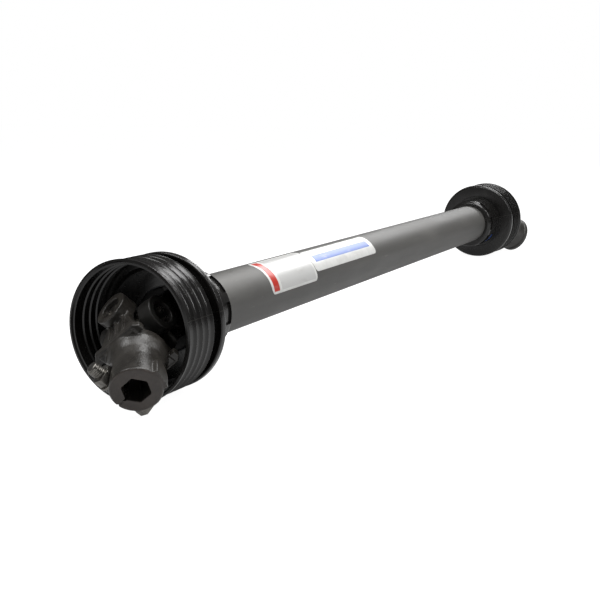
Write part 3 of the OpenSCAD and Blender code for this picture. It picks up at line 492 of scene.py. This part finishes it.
def wrap_label(name, start, end, low_turn, high_turn):
    """A patch of thin vinyl with rounded corners, cut from a sleeve on the tube."""
    turn = math.radians((low_turn + high_turn) / 2)
    width = 2 * tube_radius * math.sin(math.radians(high_turn - low_turn) / 2)
    out = Vector((0, math.cos(turn), math.sin(turn)))
    bpy.ops.object.select_all(action="DESELECT")
    bpy.ops.mesh.primitive_plane_add(size=1.0)
    cutter = bpy.context.object
    cutter.scale = (end - start, width, 1.0)
    bpy.ops.object.transform_apply(location=False, rotation=False, scale=True)
    bpy.ops.object.mode_set(mode="EDIT")
    bpy.ops.mesh.select_all(action="SELECT")
    bpy.ops.mesh.bevel(affect="VERTICES", offset=label_corner, segments=6)
    bpy.ops.mesh.select_all(action="SELECT")
    bpy.ops.mesh.extrude_region_move(
        TRANSFORM_OT_translate={"value": (0, 0, 1.2 * tube_radius)})
    bpy.ops.mesh.select_all(action="SELECT")
    bpy.ops.mesh.normals_make_consistent(inside=False)
    bpy.ops.object.mode_set(mode="OBJECT")
    cutter.rotation_euler = (turn - math.pi / 2, 0, 0)
    cutter.location = Vector(((start + end) / 2, 0, shaft_height)) + out * tube_radius * 0.3
    bpy.ops.object.select_all(action="DESELECT")
    bpy.ops.mesh.primitive_cylinder_add(
        vertices=360, radius=tube_radius + vinyl, depth=end - start + 0.02,
        end_fill_type="NOTHING", location=((start + end) / 2, 0, shaft_height),
        rotation=(0, math.pi / 2, 0))
    label = bpy.context.object
    label.name = name
    bpy.ops.object.transform_apply(location=True, rotation=True, scale=True)
    sheet = label.modifiers.new("sheet", "SOLIDIFY")
    sheet.thickness = vinyl * 0.8
    sheet.offset = -1.0
    bpy.ops.object.modifier_apply(modifier=sheet.name)
    cut = label.modifiers.new("cut", "BOOLEAN")
    cut.operation = "INTERSECT"
    cut.solver = "EXACT"
    cut.object = cutter
    bpy.ops.object.modifier_apply(modifier=cut.name)
    bpy.data.objects.remove(cutter)
    bpy.ops.object.shade_smooth_by_angle(angle=math.radians(30))
    return label


def printed_field(tree, along, turn, start, end, low_turn, high_turn):
    """1 inside a rectangle of the label, 0 outside, with a crisp printed edge."""
    edges = ((along, start, 1, 0.0002), (along, end, -1, 0.0002),
             (turn, low_turn, 1, 0.3), (turn, high_turn, -1, 0.3))
    amount = 1.0
    for value, edge, side, soft in edges:
        step = spread(tree, value, edge - soft, edge + soft, (1 - side) / 2, (1 + side) / 2)
        amount = sum_up(tree, "MULTIPLY", step, amount)
    return amount


label_spots = {
    "care_label": (-0.399, -0.273, 88.0, 178.0),
    "stripe_label": (-0.272, -0.064, 100.0, 160.0),
}
for name, (start, end, low_turn, high_turn) in label_spots.items():
    label = wrap_label(name, start, end, low_turn, high_turn)
    vinyl_print, tree, shader = new_finish(f"{name}_print", (0.78, 0.78, 0.76), 0.32)
    turn, along = around_shaft(tree, shaft_height)
    ink = blend_tones(tree, spread(tree, grain(tree, 90.0), 0.4, 0.7, 0.0, 1.0),
                      (0.74, 0.74, 0.72), (0.64, 0.64, 0.62))
    fields = {
        "care_label": ((start + 0.005, start + 0.019, 93, 173, (0.52, 0.035, 0.022)),
                       (start + 0.025, end - 0.005, 93, 132, (0.50, 0.50, 0.49)),
                       (start + 0.025, end - 0.005, 137, 173, (0.58, 0.58, 0.57))),
        "stripe_label": ((start + 0.012, end - 0.012, 121, 139, (0.035, 0.11, 0.42)),),
    }[name]
    for from_x, to_x, from_turn, to_turn, tone in fields:
        field = printed_field(tree, along, turn, from_x, to_x, from_turn, to_turn)
        ink = blend_tones(tree, field, ink, tone)
    rubs = spread(tree, grain(tree, 120.0, (0.2, 1.0, 1.0), detail=5.0), 0.6, 0.72, 0.0, 0.35)
    tree.links.new(blend_tones(tree, rubs, ink, (0.42, 0.41, 0.39)), shader.inputs["Base Color"])
    emboss(tree, shader, grain(tree, 500.0, detail=2.0), 0.00004, 0.3)
    label.data.materials.append(vinyl_print)
    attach(label, "outer_guard")


# Floor and light. A white sweep that the camera sees near to paper white, with
# only a soft shadow; wide lamps beyond the far end draw the streaks of light
# along the tube and the bands. The camera stands where the photographer's did.
bpy.ops.object.select_all(action="DESELECT")
bpy.ops.mesh.primitive_plane_add(size=40.0, location=(0, 0, 0))
floor = bpy.context.object
floor.name = "floor"
paper_white, seen_in_gloss, room_light = 0.965, 0.45, 0.12
floor_white, tree, shader = new_finish("floor_white", (0.3, 0.3, 0.3), 0.9)
shader.inputs["Specular IOR Level"].default_value = 0.0
path = tree.nodes.new("ShaderNodeLightPath")
shader.inputs["Emission Color"].default_value = (1.0, 1.0, 1.0, 1.0)
shown = sum_up(tree, "MAXIMUM", path.outputs["Is Camera Ray"],
               sum_up(tree, "MULTIPLY", path.outputs["Is Glossy Ray"], seen_in_gloss))
tree.links.new(spread(tree, shown, 0.0, 1.0, 0.0, paper_white),
               shader.inputs["Emission Strength"])
floor.data.materials.append(floor_white)

world = bpy.data.worlds.new("studio")
bpy.context.scene.world = world
world.use_nodes = True
tree = world.node_tree
sky = tree.nodes["Background"]
sky.inputs["Color"].default_value = (1.0, 1.0, 1.0, 1.0)
path = tree.nodes.new("ShaderNodeLightPath")
seen = sum_up(tree, "MAXIMUM", path.outputs["Is Camera Ray"], path.outputs["Is Transmission Ray"])
tree.links.new(spread(tree, seen, 0.0, 1.0, room_light, 1.0), sky.inputs["Strength"])


def lamp(name, place, aim, size, watts):
    """A soft box of that size, turned to the point that it lights."""
    light = bpy.data.lights.new(name, "AREA")
    light.shape = "RECTANGLE"
    light.size, light.size_y = size
    light.energy = watts
    stand = bpy.data.objects.new(name, light)
    stand.location = place
    stand.rotation_euler = (Vector(aim) - Vector(place)).to_track_quat("-Z", "Y").to_euler()
    bpy.context.scene.collection.objects.link(stand)


lamp("overhead_box", (-0.55, -0.35, 1.5), (-0.5, 0.0, 0.0), (1.3, 0.7), 17.0)
lamp("long_box", (0.5, -0.2, 1.5), (0.4, 0.0, 0.0), (1.4, 0.6), 12.0)
lamp("far_box", (3.8, 0.15, 2.15), (0.0, 0.0, 0.1), (2.4, 0.8), 55.0)
lamp("side_strip", (0.2, -1.5, 1.2), (-0.6, 0.0, 0.1), (0.22, 0.9), 8.0)
lamp("yoke_box", (-1.16, 0.35, 1.0), (-0.68, -0.03, 0.06), (0.5, 0.3), 5.0)

camera_data = bpy.data.cameras.new("camera")
camera_data.lens = 58.915
camera_data.sensor_width = 36.0
camera = bpy.data.objects.new("camera", camera_data)
camera.location = (-1.43406, -0.59300, 0.28902)
look_down, look_across = 10.532, 26.691
camera.rotation_euler = (math.radians(90 - look_down), 0.0, math.radians(look_across - 90))
bpy.context.scene.collection.objects.link(camera)
bpy.context.scene.camera = camera
bpy.context.scene.view_settings.view_transform = "Standard"
